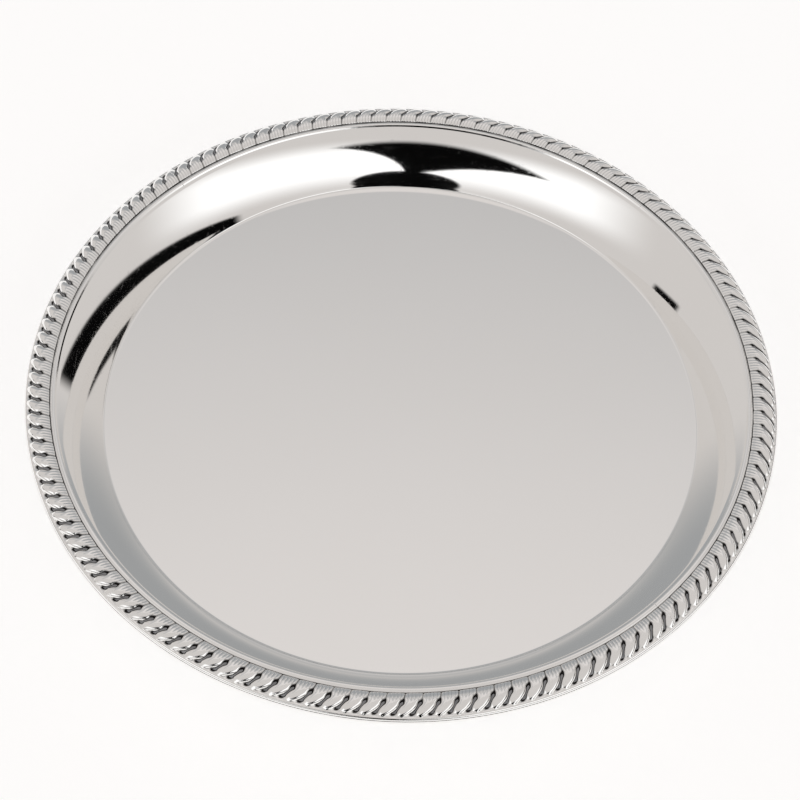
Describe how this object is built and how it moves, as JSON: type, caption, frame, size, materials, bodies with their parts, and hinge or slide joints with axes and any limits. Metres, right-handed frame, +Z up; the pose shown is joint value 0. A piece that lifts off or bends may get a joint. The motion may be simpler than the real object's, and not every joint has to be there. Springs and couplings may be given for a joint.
{
  "type": "round salver",
  "caption": "Round footless serving tray with a flat well, a gently curved sloping wall and an applied gadroon border over a wired edge.",
  "frame": {"origin": "centre of the flat underside of the well, on the surface the tray stands on", "axes": "+Z up along the tray's axis, +Y towards the back, +X right; a joint between two border lengths lies on each diagonal"},
  "size_m": [0.3, 0.3, 0.0239],
  "materials": {
    "silver_plate": "mirror polished silver plate on the pressed tray",
    "silver_border": "polished silver plate, slightly darkened in the grooves",
    "steel_wire": "drawn wire, hidden in the rolled edge",
    "solder": "dull grey soft solder, hidden under the border"
  },
  "bodies": {
    "root": {"tray_body": "silver_plate", "rim_wire": "steel_wire", "border_front": "silver_border", "solder_fill_front": "solder", "border_right": "silver_border", "solder_fill_right": "solder", "border_back": "silver_border", "solder_fill_back": "solder", "border_left": "silver_border", "solder_fill_left": "solder"}
  },
  "joints": []
}
